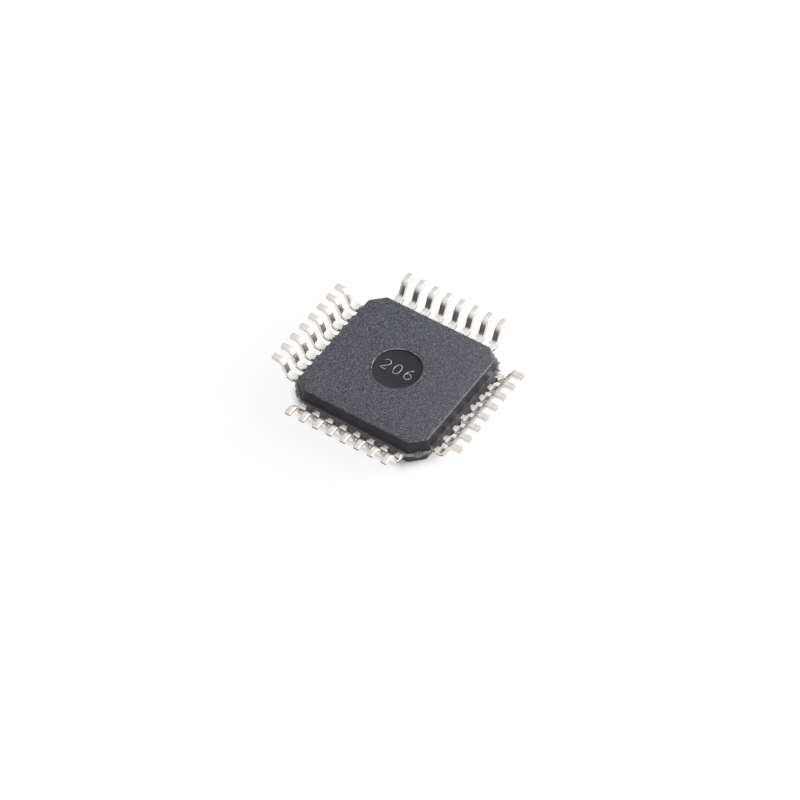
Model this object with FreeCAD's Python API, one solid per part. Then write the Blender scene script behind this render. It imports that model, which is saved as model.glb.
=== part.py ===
"""Thin quad flat pack with 32 gull-wing leads, lying on its marked face with its feet in the air.

The origin is the middle of the face it lies on, +Z is up and the leads leave the four sides along X and Y.
All lengths are millimetres and all angles are degrees.
"""
import FreeCAD, Part
import math
import os
from FreeCAD import Vector

# Moulded resin body
body_size = 5.00               # across the flats of the parting ledge
depth_below_frame = 0.50       # middle of the lead frame down to the marked face
depth_above_frame = 0.45       # middle of the lead frame up to the underside face
draft_angle = 12.0             # slope of the walls, both ways from the parting ledge
corner_chamfer = 0.52          # leg of each cut corner at the parting ledge
corner_radius = 0.08           # softening between wall and cut corner at the two faces
edge_radius = 0.035            # rounding round the two faces
ledge_width = 0.07             # step from the walls out to the parting line
ledge_thickness = 0.08         # thinner than the lead frame
flash_end_width = 0.09         # resin left outside the first and last lead of a row

# Ejector recess in the underside and first-lead dimple in the marked face
recess_diameter = 1.58
recess_depth = 0.045
dimple_diameter = 0.50
dimple_depth = 0.04
dimple_inset = 0.75            # from the two nearest sides of the body

# Leads, outside the resin; as many a side as its flat has room for
lead_pitch = 0.50
lead_thickness = 0.127
lead_width = 0.20
stub_width = 0.26              # what the cut dam bar leaves on each lead
stub_length = 0.24
stub_offset = 0.12             # from the parting line out to the stub; resin fills it between the leads
shoulder_length = 0.376        # from the parting line to the corner of the first bend
rise_angle = 68.0
bend_radius = 0.28             # to the middle of the metal, as the next one
heel_radius = 0.17
foot_length = 0.372            # from the corner of the second bend to the tip
foot_tilt = 2.0                # toe further from the body than the heel
standoff = 0.15                # underside face to the toe

# Leads, inside the resin
inner_lead_length = 0.68       # from the parting line in to the bonding tip
inner_straight = 0.22          # stretch before the lead fans in
inner_tip_width = 0.14
inner_tip_corner_gap = 0.60    # from the end of a row of tips to the corner of their square

# Die pad with its tie bars
pad_size = 2.70
pad_offset = 0.15              # the pad is stamped towards the underside
tie_bar_width = 0.20
tie_bar_ramp = 0.28            # length of the sloping part, seen from above
tie_bar_stub = 0.03            # what the cut leaves past the parting ledge

# Die, its adhesive and its wires
die_size = 2.00
die_thickness = 0.20
adhesive_thickness = 0.02
adhesive_margin = 0.05
wire_diameter = 0.030
loop_height = 0.10
bond_row_gap = 0.30            # from the last bond of a row to the corner of the die
bond_inset = 0.09
stitch_length = 0.07
stitch_inset = 0.05            # from the tip of the lead to the end of the stitch

# Heights and distances that follow from the sizes
frame_height = depth_below_frame
body_height = depth_below_frame + depth_above_frame
half_body = body_size / 2
half_wall = half_body - ledge_width
row_room = body_size - 2 * corner_chamfer - 2 * flash_end_width - lead_width
leads_per_side = 1 + math.floor(row_room / lead_pitch)
tip_height = body_height + standoff - lead_thickness / 2
heel_height = tip_height - foot_length * math.tan(math.radians(foot_tilt))
rise_run = (heel_height - frame_height) / math.tan(math.radians(rise_angle))
bend_corner = half_body + shoulder_length
heel_corner = bend_corner + rise_run
lead_reach = heel_corner + foot_length
inner_tip = half_body - inner_lead_length
row_middle = (leads_per_side - 1) / 2
tip_pitch = (inner_tip - inner_tip_corner_gap) / row_middle
pad_height = frame_height + pad_offset
die_top = pad_height - lead_thickness / 2 - adhesive_thickness
die_bottom = die_top - die_thickness
bond_pitch = (die_size / 2 - bond_row_gap) / row_middle
chamfer_distance = (body_size - corner_chamfer) / math.sqrt(2)


def turned(shape, degrees):
    """The shape turned about the body's upright axis."""
    copy = shape.copy()
    copy.rotate(Vector(0, 0, 0), Vector(0, 0, 1), degrees)
    return copy


def offset_path(points, distance):
    """The open path moved sideways to its left, with mitred corners, in the plane Y = 0."""
    moved = []
    for index, point in enumerate(points):
        sides = []
        if index > 0:
            sides.append((point - points[index - 1]).normalize())
        if index < len(points) - 1:
            sides.append((points[index + 1] - point).normalize())
        normals = [Vector(-side.z, 0, side.x) for side in sides]
        middle = sum(normals[1:], normals[0])
        middle.normalize()
        moved.append(point + middle * (distance / middle.dot(normals[0])))
    return moved


def rounded_edges(points, radii, closed=False):
    """Straight and tangent round edges along the points; radii holds one value for each corner."""
    count = len(points)
    corners = range(count) if closed else range(1, count - 1)
    arrive = dict(enumerate(points))
    leave = dict(enumerate(points))
    arcs = {}
    for corner, radius in zip(corners, radii):
        point = points[corner]
        before = (points[corner - 1] - point).normalize()
        after = (points[(corner + 1) % count] - point).normalize()
        half_angle = before.getAngle(after) / 2
        arrive[corner] = point + before * (radius / math.tan(half_angle))
        leave[corner] = point + after * (radius / math.tan(half_angle))
        bisector = (before + after).normalize()
        middle = point + bisector * (radius / math.sin(half_angle) - radius)
        arcs[corner] = Part.Arc(arrive[corner], middle, leave[corner]).toShape()
    edges = []
    for start in range(count if closed else count - 1):
        end = (start + 1) % count
        edges.append(Part.makeLine(leave[start], arrive[end]))
        if end in arcs:
            edges.append(arcs[end])
    return edges


def bent_strip(path, radii, width):
    """Sheet metal bent along a path in the plane Y = 0, with the given width along Y."""
    half = lead_thickness / 2
    turns = []
    for before, here, after in zip(path, path[1:], path[2:]):
        cross = (here - before).cross(after - here).y
        turns.append(1 if cross < 0 else -1)
    upper = offset_path(path, half)
    lower = offset_path(path, -half)
    edges = rounded_edges(upper, [radius - turn * half for radius, turn in zip(radii, turns)])
    edges.append(Part.makeLine(upper[-1], lower[-1]))
    edges += rounded_edges(lower, [radius + turn * half for radius, turn in zip(radii, turns)])
    edges.append(Part.makeLine(lower[0], upper[0]))
    outline = Part.Wire(Part.__sortEdges__(edges))
    strip = Part.Face(outline).extrude(Vector(0, width, 0))
    strip.translate(Vector(0, -width / 2, 0))
    return strip


def octagon(half, chamfer, radius, height):
    """Outline of the square body with its four cut corners, at one height."""
    flat = half - chamfer
    corners = []
    for quarter in range(4):
        for x, y in ((half, -flat), (half, flat)):
            turn = math.radians(90 * quarter)
            corners.append(Vector(x * math.cos(turn) - y * math.sin(turn),
                                  x * math.sin(turn) + y * math.cos(turn), height))
    return Part.Wire(rounded_edges(corners, [radius] * 8, closed=True))


def slab(half, chamfer, radius, bottom, thickness):
    """Plate with the body's outline."""
    return Part.Face(octagon(half, chamfer, radius, bottom)).extrude(Vector(0, 0, thickness))


def chamfer_inside(chamfer, inset):
    """Leg of a cut corner once the sides and the cut have all moved in by the inset."""
    return chamfer - (2 - math.sqrt(2)) * inset


def body_half(face_height):
    """One moulded half: walls that draw in from the parting line to a face with rounded edges."""
    depth = abs(face_height - frame_height)
    inset = depth * math.tan(math.radians(draft_angle))
    wall_chamfer = chamfer_inside(corner_chamfer, ledge_width)
    face_chamfer = chamfer_inside(wall_chamfer, inset)
    parting = octagon(half_wall, wall_chamfer, corner_radius + inset, frame_height)
    face = octagon(half_wall - inset, face_chamfer, corner_radius, face_height)
    half = Part.makeLoft([parting, face], True, True)
    rim = [edge for edge in half.Edges
           if all(abs(vertex.Z - face_height) < 1e-6 for vertex in edge.Vertexes)]
    return half.makeFillet(edge_radius, rim)


def flash_comb():
    """Thin resin along one row of leads, pressed out as far as the dam bar."""
    row_half = row_middle * lead_pitch + lead_width / 2 + flash_end_width
    length = ledge_width + stub_offset
    comb = Part.makeBox(length, 2 * row_half, ledge_thickness)
    comb.translate(Vector(half_wall, -row_half, frame_height - ledge_thickness / 2))
    return comb


def resin_block():
    """The moulding before the frame, die and wires take their room in it."""
    ledge_radius = corner_radius + ledge_width
    ledge_bottom = frame_height - ledge_thickness / 2
    block = body_half(0).fuse(body_half(body_height))
    block = block.fuse(slab(half_body, corner_chamfer, ledge_radius, ledge_bottom, ledge_thickness))
    block = block.fuse([turned(flash_comb(), 90 * quarter) for quarter in range(4)]).removeSplitter()
    recess = Part.makeCylinder(recess_diameter / 2, recess_depth, Vector(0, 0, body_height - recess_depth))
    dimple_place = half_body - dimple_inset
    dimple = Part.makeCylinder(dimple_diameter / 2, dimple_depth, Vector(-dimple_place, dimple_place, 0))
    return block.cut([recess, dimple])


def formed_strip():
    """Lead material for one whole row, bent to its gull-wing profile."""
    path = [Vector(inner_tip, 0, frame_height), Vector(bend_corner, 0, frame_height),
            Vector(heel_corner, 0, heel_height), Vector(lead_reach, 0, tip_height)]
    return bent_strip(path, [bend_radius, heel_radius], 2 * half_body)


def lead_outline(number):
    """Outline of one lead of a row as it is stamped, seen from above."""
    outer = (number - row_middle) * lead_pitch
    inner = (number - row_middle) * tip_pitch
    fan_start = half_body - inner_straight
    stub_start = half_body + stub_offset
    stub_end = stub_start + stub_length
    past_tip = lead_reach + lead_thickness
    upper = [(inner_tip, inner + inner_tip_width / 2), (fan_start, outer + lead_width / 2),
             (stub_start, outer + lead_width / 2), (stub_start, outer + stub_width / 2),
             (stub_end, outer + stub_width / 2), (stub_end, outer + lead_width / 2),
             (past_tip, outer + lead_width / 2)]
    lower = [(inner_tip, inner - inner_tip_width / 2), (fan_start, outer - lead_width / 2),
             (stub_start, outer - lead_width / 2), (stub_start, outer - stub_width / 2),
             (stub_end, outer - stub_width / 2), (stub_end, outer - lead_width / 2),
             (past_tip, outer - lead_width / 2)]
    corners = [Vector(x, y, 0) for x, y in upper + lower[::-1]]
    return Part.Face(Part.makePolygon(corners + corners[:1]))


def leads():
    """All leads, counted from the dimple's corner, anticlockwise to someone who faces the marked face."""
    strip = formed_strip()
    cutter_height = body_height + standoff + lead_thickness
    row = []
    for number in range(leads_per_side):
        cutter = lead_outline(number).extrude(Vector(0, 0, cutter_height))
        row.append(strip.common(cutter).Solids[0])
    return [turned(lead, 90 - 90 * quarter) for quarter in range(4) for lead in reversed(row)]


def die_pad():
    """The square pad and the four tie bars that hold it, one stamped piece."""
    pad = Part.makeBox(pad_size, pad_size, lead_thickness)
    pad.translate(Vector(-pad_size / 2, -pad_size / 2, pad_height - lead_thickness / 2))
    ramp_start = pad_size / math.sqrt(2) + lead_thickness
    ramp_end = ramp_start + tie_bar_ramp
    path = [Vector(pad_size / 2, 0, pad_height), Vector(ramp_start, 0, pad_height),
            Vector(ramp_end, 0, frame_height), Vector(chamfer_distance + tie_bar_stub, 0, frame_height)]
    bar = bent_strip(path, [lead_thickness, lead_thickness], tie_bar_width)
    bars = [turned(bar, 45 + 90 * quarter) for quarter in range(4)]
    return pad.fuse(bars).removeSplitter().Solids[0]


def plate(size, bottom, thickness):
    """Square plate centred on the body's upright axis."""
    return Part.makeBox(size, size, thickness, Vector(-size / 2, -size / 2, bottom))


def wire_section(centre, across, normal, stretch):
    """Six-sided section of a wire; stretch lengthens it along the normal where the wire is mitred."""
    radius = wire_diameter / 2
    section = []
    for step in range(6):
        angle = math.radians(60 * step)
        section.append(centre + across * (radius * math.cos(angle))
                       + normal * (radius * stretch * math.sin(angle)))
    return section


def bond_wire(number):
    """One wire, from the die's bond row down in a loop and up to the tip of its lead."""
    flat = wire_diameter / 2 * math.cos(math.radians(30))
    start = Vector(die_size / 2 - bond_inset, (number - row_middle) * bond_pitch, die_bottom)
    tip = Vector(inner_tip, (number - row_middle) * tip_pitch, frame_height - lead_thickness / 2 - flat)
    level = Vector(tip.x - start.x, tip.y - start.y, 0).normalize()
    across = Vector(-level.y, level.x, 0)
    last = tip + level * (stitch_inset + stitch_length)
    path = [start, start - Vector(0, 0, loop_height), tip + level * stitch_inset, last]
    sections = []
    for index, point in enumerate(path):
        before = (point - path[max(index - 1, 0)]) if index else (path[1] - path[0])
        after = (path[index + 1] - point) if index < len(path) - 1 else before
        before.normalize()
        after.normalize()
        along = (before + after).normalize()
        normal = across.cross(along)
        sections.append(wire_section(point, across, normal, 1 / along.dot(after)))
    faces = [closed_face(sections[0]), closed_face(sections[-1])]
    for here, there in zip(sections, sections[1:]):
        for side in range(6):
            after = (side + 1) % 6
            faces.append(closed_face([here[side], here[after], there[after], there[side]]))
    solid = Part.Solid(Part.Shell(faces))
    return solid if solid.Volume > 0 else solid.reversed()


def closed_face(corners):
    """Flat face with the given corners."""
    return Part.Face(Part.makePolygon(corners + corners[:1]))


def bond_wires():
    """Every wire as a solid of its own."""
    row = [bond_wire(number) for number in range(leads_per_side)]
    return [turned(wire, 90 * quarter) for quarter in range(4) for wire in row]


def chip():
    """Every separate piece by name."""
    pieces = {"die_pad": die_pad()}
    pieces["die_adhesive"] = plate(die_size + 2 * adhesive_margin, die_top, adhesive_thickness)
    pieces["silicon_die"] = plate(die_size, die_bottom, die_thickness)
    pieces["bond_wires"] = Part.makeCompound(bond_wires())
    for number, lead in enumerate(leads(), start=1):
        pieces["lead_%02d" % number] = lead
    inner = [solid for piece in pieces.values() for solid in piece.Solids]
    pieces["resin_body"] = resin_block().cut(inner)
    return pieces


def main():
    os.makedirs("parts", exist_ok=True)
    for name, shape in chip().items():
        shape.exportStep("parts/%s.step" % name)
        print("%-14s solids %d, faces %d, volume %.5f" % (name, len(shape.Solids), len(shape.Faces), shape.Volume))
    print("over the leads %.3f, total height %.3f" % (2 * lead_reach, tip_height + lead_thickness / 2))


main()
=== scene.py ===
"""Looks of a thin quad flat pack chip, lying on its marked face on a pale floor.

Sizes are in millimetres and angles in degrees; they become metres where a mesh is written.
"""
import math

import bpy
import numpy as np
from mathutils import Matrix, Vector


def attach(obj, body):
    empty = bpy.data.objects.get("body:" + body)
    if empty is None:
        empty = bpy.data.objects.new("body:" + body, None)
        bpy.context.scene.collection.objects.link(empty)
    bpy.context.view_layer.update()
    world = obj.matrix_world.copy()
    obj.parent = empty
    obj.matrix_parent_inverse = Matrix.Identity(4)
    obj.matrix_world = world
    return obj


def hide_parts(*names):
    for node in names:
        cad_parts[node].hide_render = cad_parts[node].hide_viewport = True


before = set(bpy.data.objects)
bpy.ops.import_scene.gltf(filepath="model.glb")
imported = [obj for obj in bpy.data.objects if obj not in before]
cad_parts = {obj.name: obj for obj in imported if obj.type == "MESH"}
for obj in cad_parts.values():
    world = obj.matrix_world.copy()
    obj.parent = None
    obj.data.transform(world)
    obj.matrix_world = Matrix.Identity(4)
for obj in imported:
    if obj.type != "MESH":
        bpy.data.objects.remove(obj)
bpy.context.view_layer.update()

MILLIMETRE = 0.001

# Moulded resin
body_size = 5.00
body_height = 0.95
parting_height = 0.50
draft_angle = 12.0
corner_chamfer = 0.52
corner_round = 0.19
edge_radius = 0.075
ledge_width = 0.07
ledge_half_thickness = 0.04
pressed_out = {0: 0.135, 2: 0.020, 4: 0.012, 6: 0.120}    # flash past the ledge at +X, +Y, -X and -Y
flank_reach = 0.135            # flash past the ledge along the flanks of the leads
neck_cover = 0.018             # resin over the leads next to the walls
recess_radius = 0.79
recess_depth = 0.045
recess_lip = 0.009
dimple_radius = 0.25
dimple_depth = 0.04
dimple_place = (-1.75, 1.75)

# Leads
leads_per_side = 8
lead_pitch = 0.50
lead_thickness = 0.127
lead_half_width = 0.10
stub_half_width = 0.13
stub_start = 2.62
stub_end = 2.86
inner_tip = 1.82
inner_straight = 0.22
inner_tip_half_width = 0.07
inner_tip_corner_gap = 0.60
shoulder_length = 0.376
rise_angle = 68.0
bend_radius = 0.28
heel_radius = 0.17
foot_length = 0.372
foot_tilt = 2.0
standoff = 0.15
rolled_edge = 0.018            # rounding that the punch leaves along the upper edges of the metal
burred_edge = 0.008            # and along the lower ones
toe_droop = 5.0                # bend of the last stretch of the foot, left by the cut
toe_stretch = 0.10

half_body = body_size / 2
half_wall = half_body - ledge_width
lead_end = 3.46
tie_bar_outside = 4.34         # sum of the two distances where a tie bar leaves the resin
corner_start = 4.25            # the same sum where the ledge turns into a cut corner
row_middle = (leads_per_side - 1) / 2

# Places of the finishes in the moulding's list, and in a lead's
FACE, PIN, WALL, FLASH, LIP = range(5)
TINNED, CUT, FLANK = range(3)


def smooth(value):
    """Eases a value from 0 to 1 with level ends, as 3 v^2 - 2 v^3."""
    value = np.clip(value, 0, 1)
    return value * value * (3 - 2 * value)


def soft_noise(count, neighbours, seed):
    """A closed row of random heights, smoothed over a number of neighbours, with a spread of one."""
    rows = np.random.default_rng(seed).normal(size=count)
    window = np.hanning(2 * neighbours + 3)
    padded = np.concatenate([rows[-neighbours - 1:], rows, rows[:neighbours + 1]])
    rows = np.convolve(padded, window, "valid")
    return rows / rows.std()


def write_mesh(name, points, faces, finishes, finish_of_face=None, crease=35.0):
    """Mesh object from points in millimetres and face arrays, smooth but for its sharp edges."""
    mesh = bpy.data.meshes.new(name)
    polygons = [row.tolist() for block in faces for row in block]
    mesh.from_pydata((points * MILLIMETRE).tolist(), [], polygons)
    for finish in finishes:
        mesh.materials.append(finish)
    if finish_of_face is not None:
        mesh.polygons.foreach_set("material_index", np.asarray(finish_of_face, np.int32))
    mesh.shade_smooth()
    mesh.set_sharp_from_angle(angle=math.radians(crease))
    mesh.update()
    piece = bpy.data.objects.new(name, mesh)
    bpy.context.scene.collection.objects.link(piece)
    return piece


def ring_faces(rings, columns):
    """Quads between closed rings, facing outwards if a ring is anticlockwise seen from the last one."""
    here = np.arange(columns)
    after = (here + 1) % columns
    start = columns * np.arange(rings - 1)[:, None]
    quads = np.stack([start + here, start + after, start + columns + after, start + columns + here], -1)
    return quads.reshape(-1, 4)


def fan_faces(ring_start, columns, pole, inward):
    """Triangles from a closed ring to its pole."""
    here = ring_start + np.arange(columns)
    after = ring_start + (np.arange(columns) + 1) % columns
    order = [after, here] if inward else [here, after]
    return np.stack(order + [np.full(columns, pole)], -1)


# Materials

def new_finish(name):
    """An empty material with its shader, and coordinates counted in millimetres."""
    finish = bpy.data.materials.new(name)
    finish.use_nodes = True
    tree = finish.node_tree
    shader = tree.nodes["Principled BSDF"]
    place = tree.nodes.new("ShaderNodeTexCoord")
    scaled = tree.nodes.new("ShaderNodeMapping")
    scaled.inputs["Scale"].default_value = (1 / MILLIMETRE,) * 3
    tree.links.new(place.outputs["Object"], scaled.inputs["Vector"])
    return finish, tree, shader, scaled.outputs["Vector"]


def grain(tree, vector, per_millimetre, detail=2.0, roughness=0.55):
    """Cloudy noise with so many clouds a millimetre."""
    node = tree.nodes.new("ShaderNodeTexNoise")
    node.inputs["Scale"].default_value = per_millimetre
    node.inputs["Detail"].default_value = detail
    node.inputs["Roughness"].default_value = roughness
    tree.links.new(vector, node.inputs["Vector"])
    return node.outputs["Fac"]


def cells(tree, vector, per_millimetre, output="Distance", spread=1.0):
    """Random cells, so many a millimetre."""
    node = tree.nodes.new("ShaderNodeTexVoronoi")
    node.inputs["Scale"].default_value = per_millimetre
    node.inputs["Randomness"].default_value = spread
    tree.links.new(vector, node.inputs["Vector"])
    return node.outputs[output]


def span(tree, value, low, high, to_low=0.0, to_high=1.0):
    """The value's stretch from low to high, laid onto another stretch and held there."""
    node = tree.nodes.new("ShaderNodeMapRange")
    sockets = ("From Min", "From Max", "To Min", "To Max")
    for socket, number in zip(sockets, (low, high, to_low, to_high)):
        node.inputs[socket].default_value = number
    tree.links.new(value, node.inputs["Value"])
    return node.outputs["Result"]


def combine(tree, operation, first, second):
    """A value put together with another value or a number by the named operation."""
    node = tree.nodes.new("ShaderNodeMath")
    node.operation = operation
    for socket, value in zip(node.inputs, (first, second)):
        if isinstance(value, (int, float)):
            socket.default_value = value
        else:
            tree.links.new(value, socket)
    return node.outputs["Value"]


def tint(tree, share, first, second):
    """One colour turning into another as the share goes from 0 to 1; a colour may be a socket."""
    node = tree.nodes.new("ShaderNodeMix")
    node.data_type = "RGBA"
    tree.links.new(share, node.inputs["Factor"])
    for socket, colour in zip((node.inputs[6], node.inputs[7]), (first, second)):
        if isinstance(colour, tuple):
            socket.default_value = (*colour, 1.0)
        else:
            tree.links.new(colour, socket)
    return node.outputs[2]


def axes(tree, vector):
    """The three parts of a vector."""
    node = tree.nodes.new("ShaderNodeSeparateXYZ")
    tree.links.new(vector, node.inputs["Vector"])
    return node.outputs["X"], node.outputs["Y"], node.outputs["Z"]


def reach_from_axis(tree, at):
    """Distance from the body's axis square to the nearest side, height, and both distances added up."""
    right, back, height = axes(tree, at)
    far_x = combine(tree, "ABSOLUTE", right, 0.0)
    far_y = combine(tree, "ABSOLUTE", back, 0.0)
    out = combine(tree, "MAXIMUM", far_x, far_y)
    corner = combine(tree, "ADD", far_x, far_y)
    return out, height, corner


def coat(tree, shader, colour, roughness):
    """Gives the shader a colour and a roughness that vary over the piece."""
    tree.links.new(colour, shader.inputs["Base Color"])
    tree.links.new(roughness, shader.inputs["Roughness"])


def emboss(tree, shader, height, depth):
    """Relief of the surface: a height of one stands for the depth, in millimetres."""
    node = tree.nodes.new("ShaderNodeBump")
    node.inputs["Distance"].default_value = depth * MILLIMETRE
    tree.links.new(height, node.inputs["Height"])
    tree.links.new(node.outputs["Normal"], shader.inputs["Normal"])


def grained_resin():
    """Filled epoxy from a spark-eroded mould: fine pits, a painted sheen that pales towards the right
    corner, and pale specks painted as glints.
    """
    finish, tree, shader, at = new_finish("grained_resin")
    clouds = grain(tree, at, 17.0, 3.0, 0.7)
    sand = grain(tree, at, 34.0, 2.0, 0.7)
    pits = cells(tree, at, 31.0)
    relief = combine(tree, "ADD", combine(tree, "MULTIPLY", pits, 0.5), sand)
    body = tint(tree, span(tree, sand, 0.41, 0.63), (0.005, 0.0055, 0.008), (0.119, 0.121, 0.146))
    # Painted sheen: an uneven pale sheen grows towards the right corner, standing in for the light from
    # the back right.
    right, back, _ = axes(tree, at)
    to_corner = combine(tree, "ADD", right, combine(tree, "MULTIPLY", back, 0.5))
    uneven = combine(tree, "MULTIPLY", grain(tree, at, 1.1, 3.0), 2.0)
    sheen_reach = combine(tree, "ADD", to_corner, uneven)
    painted_sheen = tint(tree, span(tree, sheen_reach, 1.2, 4.6, 0.0, 0.35), body, (0.115, 0.115, 0.134))
    # Painted glints: pale specks in the colour stand in for light sparkling off the grained surface.
    chance = span(tree, cells(tree, at, 33.0, "Color"), 0.35, 0.95)
    centre = span(tree, cells(tree, at, 33.0), 0.15, 0.50, 1.0, 0.0)
    glint = combine(tree, "MULTIPLY", combine(tree, "POWER", chance, 2.2), centre)
    colour = tint(tree, glint, painted_sheen, (0.50, 0.50, 0.53))
    coat(tree, shader, colour, span(tree, clouds, 0.3, 0.7, 0.60, 0.42))
    emboss(tree, shader, relief, 0.010)
    return finish


def drafted_wall_resin_painted_dark():
    """Epoxy of the walls, smoothed as it left the mould: half matt, with upright drag lines, and
    painted dark as shade, far darker than the face.
    """
    finish, tree, shader, at = new_finish("drafted_wall_resin_painted_dark")
    drawn = tree.nodes.new("ShaderNodeMapping")
    drawn.inputs["Scale"].default_value = (1.0, 1.0, 0.12)
    tree.links.new(at, drawn.inputs["Vector"])
    lines = grain(tree, drawn.outputs["Vector"], 26.0, 3.0, 0.6)
    clouds = grain(tree, at, 7.0, 3.0)
    relief = combine(tree, "ADD", lines, clouds)
    # Painted shade: the walls take a far darker copy of the face's epoxy, standing in for the light
    # they miss.
    colour = tint(tree, span(tree, relief, 0.75, 1.25), (0.008, 0.006, 0.0085), (0.023, 0.018, 0.0235))
    coat(tree, shader, colour, span(tree, clouds, 0.3, 0.7, 0.40, 0.50))
    shader.inputs["Specular IOR Level"].default_value = 0.42
    emboss(tree, shader, relief, 0.0014)
    return finish


def pin_marked_resin():
    """Epoxy where a polished pin pressed it: darker and smoother, with turning marks and a few pits."""
    finish, tree, shader, at = new_finish("pin_marked_resin")
    swirl = tree.nodes.new("ShaderNodeTexWave")
    swirl.wave_type = "RINGS"
    swirl.rings_direction = "Z"
    swirl.inputs["Scale"].default_value = 7.0
    swirl.inputs["Distortion"].default_value = 1.5
    tree.links.new(at, swirl.inputs["Vector"])
    clouds = grain(tree, at, 9.0, 4.0)
    relief = combine(tree, "ADD", combine(tree, "MULTIPLY", swirl.outputs["Fac"], 0.15), clouds)
    colour = tint(tree, span(tree, clouds, 0.3, 0.7), (0.008, 0.008, 0.012), (0.016, 0.0165, 0.024))
    coat(tree, shader, colour, span(tree, clouds, 0.3, 0.7, 0.30, 0.42))
    shader.inputs["Specular IOR Level"].default_value = 0.4
    emboss(tree, shader, relief, 0.0020)
    return finish


def lip_resin_painted_highlight():
    """Fine raised lip that the pin's gap leaves round the recess, with a patchy painted highlight along
    its back-left side.
    """
    finish, tree, shader, at = new_finish("lip_resin_painted_highlight")
    lip_mottle = grain(tree, at, 9.0, 4.0, 0.65)
    right, back, _ = axes(tree, at)
    # Painted highlight: the lip turns pale along its back-left side, where it catches the light, broken
    # into patches.
    to_back = combine(tree, "SUBTRACT", combine(tree, "MULTIPLY", back, 0.6), right)
    painted_lip_highlight = combine(tree, "MULTIPLY", span(tree, to_back, 0.05, 0.55), span(tree, lip_mottle, 0.36, 0.60))
    colour = tint(tree, painted_lip_highlight, (0.030, 0.030, 0.037), (0.42, 0.42, 0.45))
    coat(tree, shader, colour, span(tree, lip_mottle, 0.4, 0.7, 0.35, 0.55))
    emboss(tree, shader, lip_mottle, 0.004)
    return finish


def digit_resin_painted_pale():
    """Matt skin of the raised digits from the pin's rough engraving, coloured pale as a painted
    highlight for the light the strokes catch.
    """
    finish, tree, shader, at = new_finish("digit_resin_painted_pale")
    clouds = grain(tree, at, 16.0, 4.0, 0.65)
    # Painted highlight: the strokes are coloured pale, standing in for the light that glints off them.
    colour = tint(tree, span(tree, clouds, 0.38, 0.62), (0.09, 0.09, 0.10), (0.50, 0.50, 0.53))
    tree.links.new(colour, shader.inputs["Base Color"])
    shader.inputs["Roughness"].default_value = 0.5
    emboss(tree, shader, clouds, 0.004)
    return finish


def flash_resin():
    """Thin torn epoxy along the parting line, with painted light at the cut corners and painted shade
    next to the stubs.
    """
    finish, tree, shader, at = new_finish("flash_resin")
    clouds = grain(tree, at, 15.0, 4.0, 0.7)
    crumbs = span(tree, grain(tree, at, 40.0, 2.0), 0.62, 0.74)
    out, _, corner = reach_from_axis(tree, at)
    body = tint(tree, span(tree, clouds, 0.36, 0.66), (0.028, 0.025, 0.029), (0.125, 0.114, 0.121))
    # Painted light: the flash turns pale at the cut corners, where it is lit and mirrors the floor.
    corner_painted_light = tint(tree, span(tree, corner, corner_start, corner_start + 0.15), body, (0.25, 0.247, 0.25))
    # Painted shade: the flash turns near black where it meets the stubs, in the corner between lead and
    # wall.
    stub_shade_share = span(tree, out, stub_start - 0.015, stub_start + 0.015)
    stub_painted_shade = tint(tree, stub_shade_share, corner_painted_light, (0.006, 0.006, 0.008))
    colour = tint(tree, combine(tree, "MULTIPLY", crumbs, clouds), stub_painted_shade, (0.30, 0.29, 0.29))
    coat(tree, shader, colour, span(tree, clouds, 0.3, 0.7, 0.34, 0.6))
    emboss(tree, shader, clouds, 0.010)
    return finish


def tinned_metal():
    """Matte tin over copper: fine crystals, darker and warmer next to the body, and the soles' toes
    rougher and painted greyer as a dimmer reflection.
    """
    finish, tree, shader, at = new_finish("tinned_metal")
    crystals = grain(tree, at, 42.0, 3.0, 0.6)
    clouds = grain(tree, at, 5.0, 3.0)
    tin_mottle = grain(tree, at, 11.0, 4.0, 0.6)
    out, height, _ = reach_from_axis(tree, at)
    bright = tint(tree, span(tree, clouds, 0.35, 0.7), (0.955, 0.94, 0.915), (0.92, 0.885, 0.85))
    # Darker and warmer next to the body, along a ragged edge.
    near_body_edge = combine(tree, "ADD", out, combine(tree, "MULTIPLY", tin_mottle, 0.03))
    near_body_share = span(tree, near_body_edge, stub_start + 0.012, stub_start + 0.022, 0.8, 0.0)
    near = tint(tree, near_body_share, bright, (0.78, 0.725, 0.635))
    sole_level = body_height + standoff - 0.05
    on_sole = span(tree, height, sole_level, sole_level + 0.03)
    sole = combine(tree, "MULTIPLY", on_sole, span(tree, tin_mottle, 0.25, 0.6, 0.55, 1.0))
    # Painted shade: the last stretch of each sole turns greyer and warmer, for the dimmer light its
    # flat mirrors; it is also rougher there.
    far = span(tree, out, lead_end - 0.27, lead_end - 0.15)
    painted_dim_toes = combine(tree, "MULTIPLY", sole, far)
    shader.inputs["Metallic"].default_value = 0.95
    satin = span(tree, clouds, 0.3, 0.7, 0.26, 0.35)
    dulled = combine(tree, "ADD", satin, combine(tree, "MULTIPLY", painted_dim_toes, 0.12))
    coat(tree, shader, tint(tree, painted_dim_toes, near, (0.85, 0.79, 0.74)), dulled)
    emboss(tree, shader, crystals, 0.0010)
    return finish


def plated_flank():
    """Stamped flanks of the leads under their plating: satin, a little warm where the tin is thin."""
    finish, tree, shader, at = new_finish("plated_flank")
    lines = grain(tree, at, 21.0, 3.0, 0.65)
    clouds = grain(tree, at, 6.0, 3.0)
    thin = combine(tree, "ADD", combine(tree, "MULTIPLY", lines, 0.5), clouds)
    colour = tint(tree, span(tree, thin, 0.62, 0.90), (0.90, 0.85, 0.80), (0.75, 0.67, 0.61))
    shader.inputs["Metallic"].default_value = 0.95
    coat(tree, shader, colour, span(tree, lines, 0.3, 0.7, 0.34, 0.46))
    emboss(tree, shader, lines, 0.0030)
    return finish


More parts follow.
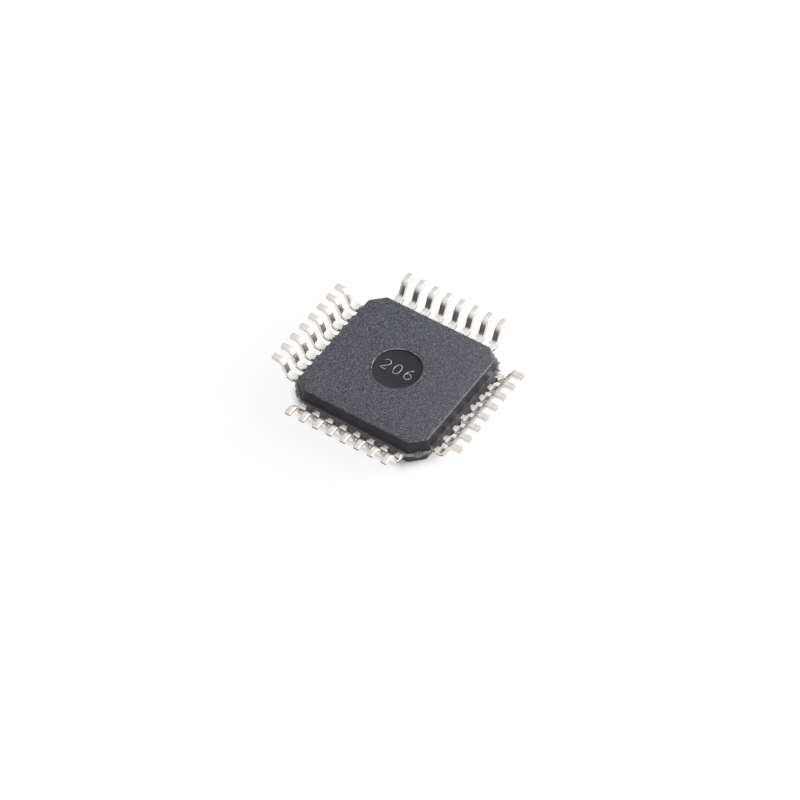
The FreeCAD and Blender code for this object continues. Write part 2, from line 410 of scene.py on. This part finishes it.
def cut_metal():
    """Where a punch cut through the plated metal: smeared tin above, torn and browned copper below.

    The two meet along the sheet's middle, which rises past the bend as a parabola, up to the foot.
    """
    finish, tree, shader, at = new_finish("cut_metal")
    lines = grain(tree, at, 24.0, 3.0, 0.7)
    smear = grain(tree, at, 11.0, 3.0, 0.6)
    out, height, _ = reach_from_axis(tree, at)
    bend_start = half_body + shoulder_length - bend_radius * math.tan(math.radians(rise_angle / 2))
    past_bend = combine(tree, "MAXIMUM", combine(tree, "SUBTRACT", out, bend_start), 0.0)
    squared = combine(tree, "MULTIPLY", past_bend, past_bend)
    bend_rise = combine(tree, "MULTIPLY", squared, 0.55 / bend_radius)
    foot_rise = body_height + standoff - lead_thickness / 2 - parting_height
    sheet_middle = combine(tree, "ADD", combine(tree, "MINIMUM", bend_rise, foot_rise), parting_height)
    over_middle = combine(tree, "SUBTRACT", height, sheet_middle)
    above = combine(tree, "ADD", over_middle, combine(tree, "MULTIPLY", smear, 0.05))
    copper = tint(tree, span(tree, lines, 0.35, 0.65), (0.10, 0.045, 0.042), (0.30, 0.17, 0.14))
    covered = span(tree, above, -0.002, 0.018)
    shader.inputs["Metallic"].default_value = 1.0
    colour = tint(tree, covered, copper, (0.80, 0.75, 0.71))
    coat(tree, shader, colour, span(tree, lines, 0.3, 0.7, 0.34, 0.55))
    emboss(tree, shader, lines, 0.006)
    return finish


def stamped_copper():
    """Rolled copper alloy of the pad and its tie bars, torn at their cut ends outside, where dark spots
    are partly browned copper and partly painted shade.
    """
    finish, tree, shader, at = new_finish("stamped_copper")
    clouds = grain(tree, at, 12.0, 4.0)
    torn = grain(tree, at, 20.0, 4.0, 0.7)
    clean = tint(tree, span(tree, clouds, 0.3, 0.7), (0.50, 0.26, 0.17), (0.72, 0.43, 0.30))
    # Partly painted shade: the near-black spots at the cut ends stand in for the shade there, over
    # browned copper.
    browned_and_shaded = tint(tree, span(tree, torn, 0.36, 0.58), (0.030, 0.027, 0.028), (0.33, 0.30, 0.295))
    _, _, corner = reach_from_axis(tree, at)
    outside = span(tree, corner, tie_bar_outside - 0.02, tie_bar_outside)
    tree.links.new(span(tree, outside, 0.0, 1.0, 1.0, 0.6), shader.inputs["Metallic"])
    coat(tree, shader, tint(tree, outside, clean, browned_and_shaded), span(tree, torn, 0.3, 0.7, 0.35, 0.6))
    emboss(tree, shader, torn, 0.010)
    return finish


def silver_paste():
    """Epoxy filled with silver flakes that fixes the die."""
    finish, tree, shader, at = new_finish("silver_paste")
    flakes = cells(tree, at, 60.0, "Color")
    colour = tint(tree, flakes, (0.42, 0.42, 0.43), (0.72, 0.72, 0.73))
    tree.links.new(colour, shader.inputs["Base Color"])
    shader.inputs["Metallic"].default_value = 0.6
    shader.inputs["Roughness"].default_value = 0.45
    emboss(tree, shader, flakes, 0.004)
    return finish


def patterned_silicon():
    """The die: blue-grey silicon with faint blocks of circuit."""
    finish, tree, shader, at = new_finish("patterned_silicon")
    blocks = cells(tree, at, 9.0, "Color", 0.15)
    fine = grain(tree, at, 70.0, 2.0)
    colour = tint(tree, blocks, (0.045, 0.060, 0.095), (0.130, 0.120, 0.150))
    shader.inputs["Metallic"].default_value = 0.5
    coat(tree, shader, colour, span(tree, fine, 0.3, 0.7, 0.12, 0.24))
    emboss(tree, shader, fine, 0.0006)
    return finish


def drawn_gold():
    """Bond wire of drawn gold."""
    finish, tree, shader, at = new_finish("drawn_gold")
    lines = grain(tree, at, 80.0, 2.0)
    colour = tint(tree, lines, (0.86, 0.58, 0.20), (0.98, 0.76, 0.36))
    shader.inputs["Metallic"].default_value = 1.0
    coat(tree, shader, colour, span(tree, lines, 0.3, 0.7, 0.18, 0.3))
    return finish


# Moulding

def body_outline(side_points, cut_points, corner_points):
    """Outline of the walls at the parting line: points, outward normals, side numbers, places along.

    The rounded outline is an inner square with cut corners, moved outwards by the corner radius: each
    side is a straight run with one normal, and each corner an arc round the inner corner. Every outline
    of the moulding is this one moved along its normals.
    """
    side_distance = half_wall - corner_round
    cut_distance = (2 * half_body - corner_chamfer) / math.sqrt(2) - ledge_width - corner_round
    angles = np.radians(45 * np.arange(9))
    distances = np.where(np.arange(9) % 2 == 0, side_distance, cut_distance)
    normals = np.stack([np.cos(angles), np.sin(angles)], 1)
    corners = []
    for k in range(8):
        corners.append(np.linalg.solve(normals[k:k + 2], distances[k:k + 2]))
    points, outward, side, along = [], [], [], []
    for k in range(8):
        start = corners[k - 1] + corner_round * normals[k]
        end = corners[k] + corner_round * normals[k]
        count = cut_points if k % 2 else side_points
        share = np.linspace(0, 1, count)[:, None]
        run = start + (end - start) * share
        turn = np.linspace(angles[k], angles[k + 1], corner_points + 2)[1:-1]
        bend = np.stack([np.cos(turn), np.sin(turn)], 1)
        points += [run, corners[k] + corner_round * bend]
        outward += [np.repeat(normals[k:k + 1], count, 0), bend]
        side += [np.full(count, k), np.full(corner_points, -1)]
        tangent = np.array([-normals[k][1], normals[k][0]])
        along += [run @ tangent, np.zeros(corner_points)]
    return np.concatenate(points), np.concatenate(outward), np.concatenate(side), np.concatenate(along)


def beside_leads(along):
    """Distance along a row from the flank of the nearest lead; negative inside its metal."""
    return np.abs((along / lead_pitch + row_middle + 0.5) % 1 - 0.5) * lead_pitch - lead_half_width


def flash_reach(side, along):
    """How far thin resin reaches out of the walls at each point of the outline, and its half thickness.

    Between the leads it is the ledge, plus what was pressed out along that row, plus a fillet at each
    flank that falls off as a bell curve, plus a ragged share. Along a row it is a little thicker than
    the leads, so it covers their necks. At a cut corner it is the ledge with a torn tongue and a notch.
    """
    ragged = soft_noise(len(side), 2, 5)
    broad = soft_noise(len(side), 9, 8)
    uneven = soft_noise(len(side), 16, 13)
    reach = ledge_width + 0.004 * ragged
    thick = np.full(len(side), ledge_half_thickness)
    row_half = row_middle * lead_pitch + lead_half_width + 0.085
    fillet = np.exp(-(np.clip(beside_leads(along), 0, 1) / 0.042) ** 2)
    most = stub_start + 0.035 - half_wall
    for number, extra in pressed_out.items():
        here = (side == number) & (np.abs(along) < row_half)
        filled = (flank_reach + 0.03 * uneven - extra) * fillet
        torn = extra * (1 + 0.30 * broad) + filled + 0.009 * ragged
        reach = np.where(here, np.clip(ledge_width + torn, 0.05, most), reach)
        thick = np.where(here, lead_thickness / 2 + neck_cover, thick)
    tongue = 0.034 * np.exp(-((np.abs(along) - 0.15) / 0.026) ** 2)
    notch = -0.035 * np.exp(-((along - 0.26) / 0.04) ** 2)
    cut = ledge_width + tongue + notch + 0.008 * broad + 0.003 * ragged
    return np.where(side % 2 == 1, cut, reach), thick


def wall_profile(face_height):
    """Section of one moulded half from the parting line to the face, as outward distance and height.

    A straight drafted wall that flares a little at its foot, then an arc that touches the wall and the
    face.
    """
    draft = math.radians(draft_angle)
    up = 1 if face_height > parting_height else -1
    depth = abs(face_height - parting_height)
    inset = depth * math.tan(draft)
    centre = -inset - edge_radius * (1 - math.sin(draft)) / math.cos(draft)
    turn = np.linspace(draft, math.pi / 2, 9)
    arc_out = centre + edge_radius * np.cos(turn)
    arc_up = depth - edge_radius + edge_radius * np.sin(turn)
    flare = 0.010
    foot = ledge_half_thickness + 0.012
    wall_up = np.array([ledge_half_thickness, foot, foot + 0.08, 0.5 * depth + 0.2 * foot])
    wall_out = -wall_up * math.tan(draft)
    wall_out[0] += flare
    out = np.concatenate([wall_out, arc_out])
    height = parting_height + up * np.concatenate([wall_up, arc_up])
    return out, height


def round_sink(rim, centre, radius, face_height, depth, lip):
    """Rings from the face's rim into a round sink, and the finish that each ring starts.

    Each ring point goes straight from the rim towards the sink's circle, at the angle of the rim point;
    then a lip, a wall and a floor follow as circles, given by their distance out of the sink's circle
    and their depth.
    """
    away = rim - centre
    away /= np.linalg.norm(away, axis=1)[:, None]
    down = 1 if depth > 0 else -1
    size = abs(depth)
    lip_steps = [(0.030, 0.0), (0.018, -lip), (0.006, -lip), (0.001, 0.2 * lip + 0.002)]
    wall_steps = [(-0.003, size - 0.012), (-0.006, size - 0.004), (-0.014, size)]
    floor_steps = [(-0.4 * radius, size), (-0.8 * radius, size)]
    steps = lip_steps + wall_steps + floor_steps

    def ring(plan, low):
        return np.column_stack([plan, np.full(len(rim), face_height - down * low)])

    near = centre + away * (radius + steps[0][0])
    rings = [ring(rim + (near - rim) * share, 0.0) for share in (0.35, 0.75)]
    rings += [ring(centre + away * (radius + past), low) for past, low in steps]
    codes = [FACE] * 3 + [LIP if lip else PIN] * 2 + [PIN] * (len(steps) - 3)
    return rings, codes


def resin_moulding(finishes):
    """The whole moulding as one closed surface of rings, from the dimple's floor to the recess's floor.

    The finishes are the grained faces, the pin marks, the walls, the flash and the lip. A band between
    two rings takes the later of their two finishes.
    """
    points, outward, side, along = body_outline(side_points=230, cut_points=40, corner_points=9)
    columns = len(points)
    reach, thick = flash_reach(side, along)
    lower_out, lower_height = wall_profile(0.0)
    upper_out, upper_height = wall_profile(body_height)

    def ring(out, height):
        out = np.broadcast_to(out, columns)[:, None]
        return np.column_stack([points + outward * out, np.broadcast_to(height, columns)])

    lower_rim = points + outward * lower_out[-1]
    upper_rim = points + outward * upper_out[-1]
    dimple = (np.array(dimple_place), dimple_radius, 0.0, -dimple_depth, 0.0)
    recess = (np.zeros(2), recess_radius, body_height, recess_depth, recess_lip)
    sunk, sunk_codes = round_sink(lower_rim, *dimple)
    raised, raised_codes = round_sink(upper_rim, *recess)
    foot_rings = 2             # these follow the thickness of the ledge
    wall_rings = 7             # the last rings of the rounded edge belong to the face
    wall_codes = [WALL] * wall_rings + [FACE] * (len(upper_out) - wall_rings)
    lift = (thick - ledge_half_thickness) * (np.arange(len(upper_out)) < foot_rings)[:, None]
    lower = [ring(out, height) for out, height in zip(lower_out, lower_height[:, None] - lift)]
    upper = [ring(out, height) for out, height in zip(upper_out, upper_height[:, None] + lift)]
    rings = sunk[::-1] + lower[::-1]
    codes = sunk_codes[::-1] + wall_codes[::-1]
    extra = smooth((reach - ledge_width) / 0.10)
    sag = 0.006 * soft_noise(columns, 4, 21)
    round_edge = ((0.55, -1.0), (0.90, -0.80), (1.0, -0.35), (1.0, 0.35), (0.90, 0.80), (0.55, 1.0))
    for share, level in round_edge:
        thin = thick * level * (1 - 0.35 * extra * share)
        rings.append(ring(reach * share, parting_height + thin + sag * share * extra))
        codes.append(FLASH)
    rings += upper + raised
    codes += wall_codes + raised_codes
    poles = np.array([[*dimple_place, dimple_depth], [0.0, 0.0, body_height - recess_depth]])
    count = len(rings)
    skin = ring_faces(count, columns)
    caps = [fan_faces(0, columns, count * columns, True),
            fan_faces((count - 1) * columns, columns, count * columns + 1, False)]
    bands = np.maximum(codes[:-1], codes[1:])
    finish_of_face = np.concatenate([np.repeat(bands, columns), np.full(2 * columns, PIN)])
    everything = np.concatenate(rings + [poles])
    piece = write_mesh("resin_moulding", everything, [skin] + caps, finishes, finish_of_face)
    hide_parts("resin_body")
    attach(piece, "root")


def torn_horn(base, aim, width, seed):
    """A torn point: rings round a line from base to aim, narrowing as a root, with random dents."""
    chance = np.random.default_rng(seed)
    rings, columns = 9, 10
    base, aim = np.array(base, float), np.array(aim, float)
    line = aim - base
    along = line / np.linalg.norm(line)
    sideways = np.cross(along, [0.0, 0.0, 1.0])
    sideways /= np.linalg.norm(sideways)
    upward = np.cross(sideways, along)
    share = np.linspace(0, 0.97, rings)[:, None, None]
    turn = np.linspace(0, 2 * math.pi, columns + 1)[:-1][None, :, None]
    dents = 1 + 0.28 * chance.normal(size=(rings, columns, 1))
    round_about = sideways * np.cos(turn) + 0.55 * upward * np.sin(turn)
    bow = 0.10 * np.linalg.norm(line) * np.sin(math.pi * share) * upward
    points = base + line * share + bow + width / 2 * np.sqrt(1 - share) * dents * round_about
    points = np.concatenate([points.reshape(-1, 3), [base, aim]])
    count = rings * columns
    skin = ring_faces(rings, columns)[:, ::-1]
    foot = fan_faces(0, columns, count, False)
    tip = fan_faces(count - columns, columns, count + 1, True)
    return points, [skin, foot, tip]


def tie_bar_burrs(flash):
    """Torn points of resin round the cut tie bars.

    Each is given by its quarter, the distance out and the place across of its foot and of its tip, its
    height and its width.
    """
    horns = [(0, 3.10, 0.10, 3.275, 0.075, 0.545, 0.13), (0, 3.10, 0.30, 3.200, 0.420, 0.520, 0.10),
             (0, 3.10, -0.14, 3.205, -0.165, 0.520, 0.08), (2, 3.10, -0.12, 3.205, -0.150, 0.500, 0.07),
             (2, 3.10, 0.50, 3.180, 0.560, 0.520, 0.07), (2, 3.10, -0.30, 3.220, -0.335, 0.490, 0.04),
             (3, 3.10, 0.20, 3.195, 0.215, 0.550, 0.10), (3, 3.10, -0.16, 3.205, -0.190, 0.520, 0.10),
             (1, 3.10, 0.14, 3.205, 0.180, 0.520, 0.10), (1, 3.10, -0.20, 3.200, -0.240, 0.500, 0.08)]
    climb = 0.02
    points, faces, count = [], [], 0
    for index, (quarter, start, start_across, end, end_across, height, width) in enumerate(horns):
        turn = math.radians(45 + 90 * quarter)
        out = np.array([math.cos(turn), math.sin(turn)])
        across = np.array([out[1], -out[0]])
        if quarter == 3:
            across = -across
        base = [*(out * start + across * start_across), height - climb]
        aim = [*(out * end + across * end_across), height + climb]
        horn, parts = torn_horn(base, aim, width, 70 + index)
        points.append(horn)
        faces += [part + count for part in parts]
        count += len(horn)
    piece = write_mesh("tie_bar_burrs", np.concatenate(points), faces, [flash], crease=50.0)
    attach(piece, "root")


# Leads

def lead_line(reach_less, droop):
    """Centre line of a lead: its points and its slope at chosen stations.

    The slope is level, turns evenly through the first bend, holds along the rise, turns back evenly
    through the second bend, holds along the foot and eases off at the toe. The points follow by adding
    up the slope.
    """
    rise, tilt = math.radians(rise_angle), math.radians(foot_tilt)
    heel_height = body_height + standoff - lead_thickness / 2 - foot_length * math.tan(tilt)
    level = half_body + shoulder_length - inner_tip - bend_radius * math.tan(rise / 2)
    slant = (heel_height - parting_height) / math.sin(rise) - bend_radius * math.tan(rise / 2)
    slant -= heel_radius * math.tan((rise - tilt) / 2)
    foot = foot_length / math.cos(tilt) - heel_radius * math.tan((rise - tilt) / 2) - reach_less
    bend, heel = bend_radius * rise, heel_radius * (rise - tilt)
    lengths = [level, bend, slant, heel, foot - toe_stretch, toe_stretch]
    knots = np.concatenate([[0], np.cumsum(lengths)])
    slopes = np.array([0, 0, rise, rise, tilt, tilt, tilt - math.radians(droop)])
    fine = np.linspace(0, knots[-1], 4001)
    slope = np.interp(fine, knots, slopes)
    step = np.diff(fine)
    middle = (slope[1:] + slope[:-1]) / 2
    x = inner_tip + np.concatenate([[0], np.cumsum(np.cos(middle) * step)])
    z = parting_height + np.concatenate([[0], np.cumsum(np.sin(middle) * step)])
    inside = np.array([0, 0.04, half_body - inner_straight - inner_tip, half_wall - inner_tip])
    round_step = np.array([-0.004, 0.0, 0.002, 0.005, 0.008, 0.011, 0.014])
    stub_out = np.interp(stub_end, x, fine)
    runs = [np.linspace(a, b, n)[1:] for a, b, n in zip(knots[:-1], knots[1:], (36, 20, 12, 16, 10, 8))]
    runs[0] = runs[0][runs[0] > inside[-1]]
    stub_corners = [stub_start - inner_tip + round_step, stub_out - round_step]
    at = np.unique(np.concatenate([inside] + stub_corners + runs))
    least_step = 4e-4
    at = at[np.concatenate([[True], np.diff(at) > least_step])]
    return np.interp(at, fine, x), np.interp(at, fine, z), np.interp(at, fine, slope)


def sheet_section(steps):
    """Section of stamped sheet: the signs and the rounding of its four corners, step by step."""
    turn = np.radians(np.concatenate([np.linspace(90 * k, 90 * (k + 1), steps) for k in range(4)]))
    corner = np.repeat(np.arange(4), steps)
    sign_across = np.where((corner == 0) | (corner == 3), 1.0, -1.0)
    sign_up = np.where(corner < 2, 1.0, -1.0)
    rounding = np.where(corner < 2, rolled_edge, burred_edge)
    return sign_across, sign_up, rounding, np.cos(turn), np.sin(turn)


def formed_lead(name, across, turn, reach_less, droop, finishes):
    """One gull-wing lead: a rounded strip section carried along its bent centre line.

    Half the width follows the distance out: narrow at the bonding tip, wider where it fans out, widest
    at the stub of the cut dam bar, with its corners eased over a short step.
    """
    out, height, slope = lead_line(reach_less, droop)
    fan = np.clip((out - inner_tip) / (half_body - inner_straight - inner_tip), 0, 1)
    inner = across * (inner_tip - inner_tip_corner_gap) / (row_middle * lead_pitch)
    centre = inner + (across - inner) * fan
    eased = 0.012
    stub = smooth((out - stub_start) / eased) * smooth((stub_end - out) / eased)
    half_width = inner_tip_half_width + (lead_half_width - inner_tip_half_width) * fan
    half_width = half_width + (stub_half_width - lead_half_width) * stub
    sign_across, sign_up, rounding, cosine, sine = sheet_section(steps=4)
    section_across = sign_across * (half_width[:, None] - rounding) + rounding * cosine
    section_up = sign_up * (lead_thickness / 2 - rounding) + rounding * sine
    x = out[:, None] - np.sin(slope)[:, None] * section_up
    z = height[:, None] + np.cos(slope)[:, None] * section_up
    y = centre[:, None] + section_across
    cos, sin = math.cos(math.radians(turn)), math.sin(math.radians(turn))
    points = np.stack([x * cos - y * sin, x * sin + y * cos, z], -1)
    stations, columns = x.shape
    skin = ring_faces(stations, columns)
    start_cap = np.arange(columns)[None, ::-1]
    end_cap = (stations - 1) * columns + np.arange(columns)[None]
    flank = np.isin(np.arange(columns), (columns - 1, columns // 2 - 1))
    in_stub = (stub[:-1] > 0.5) & (stub[1:] > 0.5)
    finish = np.where(flank, np.where(in_stub, CUT, FLANK)[:, None], TINNED)
    finish = np.concatenate([finish.ravel(), [TINNED, CUT]])
    faces = [skin, start_cap, end_cap]
    piece = write_mesh("formed_" + name, points.reshape(-1, 3), faces, finishes, finish, 40.0)
    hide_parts(name)
    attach(piece, "root")


def formed_leads(finishes):
    """All leads, counted as the package counts them, each with its own small droop and cut."""
    chance = np.random.default_rng(32)
    for index in range(4 * leads_per_side):
        quarter, place = divmod(index, leads_per_side)
        across = (row_middle - place) * lead_pitch
        reach_less = 0.006 + 0.012 * chance.random()
        droop = toe_droop + 4 * chance.random()
        formed_lead("lead_%02d" % (index + 1), across, 90 - 90 * quarter, reach_less, droop, finishes)


# Digits in the recess

def digit_strokes(digit, height):
    """Centre lines of a plain digit's strokes, as high as given, with the left foot at the origin."""
    width = 0.58 * height
    turn = np.linspace(0, 1, 28)
    if digit == "0":
        angle = 2 * math.pi * turn
        return [np.stack([width / 2 * (1 - np.cos(angle)), height / 2 * (1 + np.sin(angle))], 1)]
    if digit == "2":
        angle = np.radians(165 - 205 * turn)
        bowl = np.stack([width / 2 * (1 + np.cos(angle)), height * 0.70 + width / 2 * np.sin(angle)], 1)
        slant = bowl[-1] - bowl[-1] * turn[:, None]
        foot = np.stack([width * turn, 0 * turn], 1)
        return [np.concatenate([bowl, slant[1:]]), foot]
    angle = 2 * math.pi * turn
    loop = np.stack([width / 2 * (1 - np.cos(angle)), width / 2 * (1 + np.sin(angle))], 1)
    rise = np.radians(180 - 62 * turn)
    reach = 1.55 * width
    stem = np.stack([reach + reach * np.cos(rise), width / 2 + 0.86 * height * np.sin(rise)], 1)
    return [loop, stem]


def raised_stroke(line, half_width, height, base):
    """Closed ridge along a centre line: half an ellipse across, on a flat foot.

    At the two ends width and height fall off as a quarter circle. A line that meets itself has no ends,
    and its last ring joins the first.
    """
    looped = np.allclose(line[0], line[-1])
    run = np.concatenate([[0], np.cumsum(np.linalg.norm(np.diff(line, axis=0), axis=1))])
    if looped:
        line = line[:-1]
        step = np.roll(line, -1, axis=0) - np.roll(line, 1, axis=0)
        ending = np.ones(len(line))
    else:
        step = np.gradient(line, axis=0)
        from_end = np.minimum(run, run[-1] - run)
        ending = np.sqrt(np.clip(1 - (1 - np.clip(from_end / half_width, 0, 1)) ** 2, 0.01, 1))
    step /= np.linalg.norm(step, axis=1)[:, None]
    left = np.stack([-step[:, 1], step[:, 0]], 1)
    turn = np.linspace(0, math.pi, 9)
    across = half_width * ending[:, None] * np.cos(turn)
    up = height * ending[:, None] * np.sin(turn)
    plan = line[:, None, :] + left[:, None, :] * across[..., None]
    points = np.concatenate([plan, (base + up)[..., None]], -1)
    rows, columns = points.shape[:2]
    if looped:
        parts = [ring_faces(rows + 1, columns) % (rows * columns)]
    else:
        foot = np.arange(columns)[None]
        parts = [ring_faces(rows, columns), foot[:, ::-1], foot + (rows - 1) * columns]
    return points.reshape(-1, 3), parts


def recess_digits(finish):
    """Plain raised digits on the recess's floor, reading along +X."""
    digit_height = 0.40
    digit_step = 0.42
    half_stroke = 0.0155
    stroke_height = 0.014
    base = body_height - recess_depth - 0.001
    points, faces, count = [], [], 0
    text = "206"
    for place, digit in enumerate(text):
        left = (place - (len(text) - 1) / 2) * digit_step - 0.29 * digit_height
        for line in digit_strokes(digit, digit_height):
            line = line + np.array([left, -digit_height / 2])
            stroke, parts = raised_stroke(line, half_stroke, stroke_height, base)
            points.append(stroke)
            faces += [part + count for part in parts]
            count += len(stroke)
    piece = write_mesh("recess_digits", np.concatenate(points), faces, [finish])
    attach(piece, "root")


# Stage

def pale_floor():
    """A wide pale floor that stays white to the camera and in reflections.

    Its own shading, and so the chip's shadow, counts fully under the chip and less further out.
    """
    size = 900.0
    points = np.array([(-size, -size, 0), (size, -size, 0), (size, size, 0), (-size, size, 0)], float)
    finish, tree, shader, at = new_finish("pale_floor")
    out, _, corner = reach_from_axis(tree, at)
    corner_less = tie_bar_outside / math.sqrt(2) - half_wall - 0.08
    diagonal = combine(tree, "MULTIPLY", corner, math.sqrt(0.5))
    past_corner = combine(tree, "SUBTRACT", diagonal, corner_less)
    past_chip = combine(tree, "MAXIMUM", out, past_corner)
    beside_chip = span(tree, past_chip, half_wall, half_wall + 0.34, 0.10, 0.87)
    own_glow = combine(tree, "ADD", beside_chip, span(tree, out, 3.2, 5.0, 0.0, 0.08))
    shader.inputs["Base Color"].default_value = (0.91, 0.913, 0.92, 1.0)
    shader.inputs["Roughness"].default_value = 0.9
    shader.inputs["Specular IOR Level"].default_value = 0.1
    glow = tree.nodes.new("ShaderNodeEmission")
    glow.inputs["Color"].default_value = (1.0, 1.0, 1.0, 1.0)
    path = tree.nodes.new("ShaderNodeLightPath")
    seen = combine(tree, "MAXIMUM", path.outputs["Is Camera Ray"], path.outputs["Is Glossy Ray"])
    mix = tree.nodes.new("ShaderNodeMixShader")
    tree.links.new(combine(tree, "MULTIPLY", seen, own_glow), mix.inputs["Fac"])
    tree.links.new(shader.outputs["BSDF"], mix.inputs[1])
    tree.links.new(glow.outputs["Emission"], mix.inputs[2])
    tree.links.new(mix.outputs["Shader"], tree.nodes["Material Output"].inputs["Surface"])
    floor = write_mesh("floor", points, [np.array([[0, 1, 2, 3]])], [finish])


def soft_light():
    """Pale surroundings, brighter towards the top and the right, white to the camera, and a softbox."""
    world = bpy.data.worlds.new("studio")
    world.use_nodes = True
    bpy.context.scene.world = world
    tree = world.node_tree
    air = tree.nodes["Background"]
    air.inputs["Color"].default_value = (0.98, 0.99, 1.0, 1.0)
    direction = tree.nodes.new("ShaderNodeTexCoord")
    right, back, up = axes(tree, direction.outputs["Generated"])
    rightward = combine(tree, "MULTIPLY", right, 0.35)
    sideways = combine(tree, "ADD", rightward, combine(tree, "MULTIPLY", back, 0.20))
    towards_light = combine(tree, "ADD", sideways, combine(tree, "MULTIPLY", up, 0.85))
    tree.links.new(span(tree, towards_light, -0.35, 0.90, 0.22, 1.02), air.inputs["Strength"])
    white = tree.nodes.new("ShaderNodeBackground")
    white.inputs["Color"].default_value = (1.0, 1.0, 1.0, 1.0)
    path = tree.nodes.new("ShaderNodeLightPath")
    mix = tree.nodes.new("ShaderNodeMixShader")
    tree.links.new(path.outputs["Is Camera Ray"], mix.inputs["Fac"])
    tree.links.new(air.outputs["Background"], mix.inputs[1])
    tree.links.new(white.outputs["Background"], mix.inputs[2])
    tree.links.new(mix.outputs["Shader"], tree.nodes["World Output"].inputs["Surface"])
    soft_lamp("right_softbox", (110, 96, 50), 80, 0.300, (1.0, 0.995, 0.985))


def soft_lamp(name, place, size, power, colour):
    """Square lamp that looks at the chip."""
    lamp = bpy.data.lights.new(name, "AREA")
    lamp.size = size * MILLIMETRE
    lamp.energy = power
    lamp.color = colour
    piece = bpy.data.objects.new(name, lamp)
    piece.location = Vector(place) * MILLIMETRE
    piece.rotation_euler = (-Vector(place)).to_track_quat("-Z", "Y").to_euler()
    bpy.context.scene.collection.objects.link(piece)


def place_camera():
    """Camera at the photograph's angle: 33 degrees round to the right of the front, 49 degrees up.

    It looks at the underside's middle, moved by the picture offset, from the given distance.
    """
    azimuth = math.radians(32.825)
    elevation = math.radians(49.420)
    roll = math.radians(0.530)
    distance = 101.936
    focal_pixels = 3299.20
    offset_right = 0.0800
    offset_up = -0.9766
    picture_width = 800
    flat = math.cos(elevation)
    back = Vector((math.sin(azimuth) * flat, -math.cos(azimuth) * flat, math.sin(elevation)))
    level = Vector((math.cos(azimuth), math.sin(azimuth), 0))
    upright = back.cross(level)
    right = level * math.cos(roll) + upright * math.sin(roll)
    up = upright * math.cos(roll) - level * math.sin(roll)
    aim = right * offset_right + up * offset_up + Vector((0, 0, body_height))
    lens = bpy.data.cameras.new("camera")
    lens.sensor_width = 36.0
    lens.lens = focal_pixels * lens.sensor_width / picture_width
    lens.clip_start = 0.001
    lens.clip_end = 10.0
    camera = bpy.data.objects.new("camera", lens)
    turn = Matrix((right, up, back)).transposed().to_4x4()
    camera.matrix_world = Matrix.Translation((aim + back * distance) * MILLIMETRE) @ turn
    bpy.context.scene.collection.objects.link(camera)
    bpy.context.scene.camera = camera


def finish_node(name, finish):
    """Gives a hidden CAD piece its material."""
    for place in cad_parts[name].material_slots:
        place.material = finish


def main():
    bpy.context.scene.view_settings.view_transform = "Standard"
    flash = flash_resin()
    grained, pinned, walls, lip = [finish() for finish in (
        grained_resin, pin_marked_resin, drafted_wall_resin_painted_dark, lip_resin_painted_highlight)]
    resin_moulding([grained, pinned, walls, flash, lip])
    tie_bar_burrs(flash)
    formed_leads([tinned_metal(), cut_metal(), plated_flank()])
    recess_digits(digit_resin_painted_pale())
    finish_node("die_pad", stamped_copper())
    finish_node("die_adhesive", silver_paste())
    finish_node("silicon_die", patterned_silicon())
    finish_node("bond_wires", drawn_gold())
    pale_floor()
    soft_light()
    place_camera()


main()
